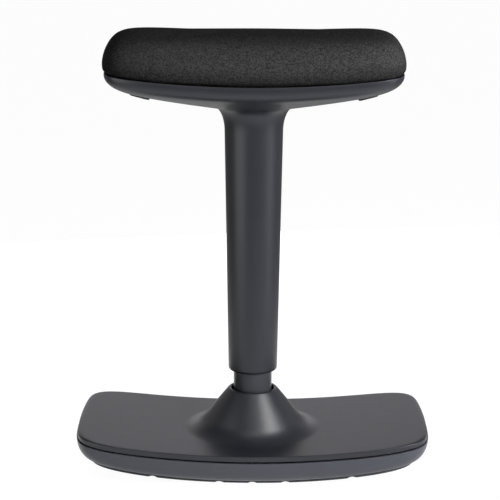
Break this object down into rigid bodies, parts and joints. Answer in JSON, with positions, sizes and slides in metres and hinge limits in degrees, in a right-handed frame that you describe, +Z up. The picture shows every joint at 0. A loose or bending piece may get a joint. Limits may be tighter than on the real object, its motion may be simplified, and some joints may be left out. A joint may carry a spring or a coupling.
{
  "type": "balance stool",
  "caption": "Height-adjustable balance stool: upholstered seat on a gas lift, with a rocking weighted base and release levers under the seat.",
  "frame": {"origin": "on the floor, under the column's axis and the middle of the base", "axes": "+Z up along the column, +X along the seat's length towards the right lever, +Y towards the rear long side"},
  "size_m": [0.457, 0.247, 0.5662],
  "materials": {
    "housing_plastic": "matte",
    "seat_fabric": "matte",
    "tube_black": "satin",
    "zinc_steel": "satin",
    "black_steel": "satin",
    "chrome": "polished",
    "rubber": "matte",
    "plywood": "matte",
    "bush_plastic": "satin"
  },
  "bodies": {
    "base": {"base_cover": "housing_plastic", "base_tray": "housing_plastic", "base_sole": "rubber", "base_plate": "black_steel", "base_socket": "black_steel", "cover_screw_1": "zinc_steel", "cover_screw_2": "zinc_steel", "cover_screw_3": "zinc_steel", "cover_screw_4": "zinc_steel", "cover_screw_5": "zinc_steel", "cover_screw_6": "zinc_steel", "plate_screw_1": "zinc_steel", "plate_screw_2": "zinc_steel", "plate_screw_3": "zinc_steel", "plate_screw_4": "zinc_steel", "stand_tube": "tube_black", "guide_bush": "bush_plastic", "bump_stop": "rubber", "bearing_washer_lower": "zinc_steel", "bearing_cage": "bush_plastic", "bearing_washer_upper": "zinc_steel"},
    "rod": {"piston_rod": "chrome", "piston": "bush_plastic", "rod_clip": "zinc_steel"},
    "seat": {"gas_cylinder": "tube_black", "rod_gland": "bush_plastic", "seat_shell": "housing_plastic", "seat_board": "plywood", "seat_bracket": "black_steel", "seat_hub": "black_steel", "seat_cushion": "seat_fabric", "bracket_screw_1": "zinc_steel", "bracket_screw_2": "zinc_steel", "bracket_screw_3": "zinc_steel", "bracket_screw_4": "zinc_steel", "shell_screw_1": "zinc_steel", "shell_screw_2": "zinc_steel", "shell_screw_3": "zinc_steel", "shell_screw_4": "zinc_steel", "left_lever_pin": "zinc_steel", "right_lever_pin": "zinc_steel"},
    "left_release": {"left_lever": "bush_plastic"},
    "right_release": {"right_lever": "bush_plastic"},
    "valve": {"valve_pin": "zinc_steel"}
  },
  "joints": [
    {"name": "swivel", "type": "hinge", "parent": "base", "child": "rod", "pos_m": [0, 0, 0.0183], "axis": [0, 0, 1], "continuous": true},
    {"name": "seat_height", "type": "slide", "parent": "rod", "child": "seat", "axis": [0, 0, 1], "range_m": [0, 0.25]},
    {"name": "left_release", "type": "hinge", "parent": "seat", "child": "left_release", "pos_m": [-0.075, 0, 0.4938], "axis": [0, 1, 0], "range_deg": [0, 2.7], "stiffness_Nm_per_rad": 1.5, "springref_deg": -2.86},
    {"name": "right_release", "type": "hinge", "parent": "seat", "child": "right_release", "pos_m": [0.075, 0, 0.4938], "axis": [0, -1, 0], "range_deg": [0, 2.7], "stiffness_Nm_per_rad": 1.5, "springref_deg": -2.86},
    {"name": "valve_press", "type": "slide", "parent": "seat", "child": "valve", "axis": [0, 0, -1], "range_m": [0, 0.0036]}
  ],
  "couplings": [
    {"joint": "right_release", "follows": "left_release", "ratio": 1},
    {"joint": "valve_press", "follows": "left_release", "m_per_rad": 0.075}
  ]
}
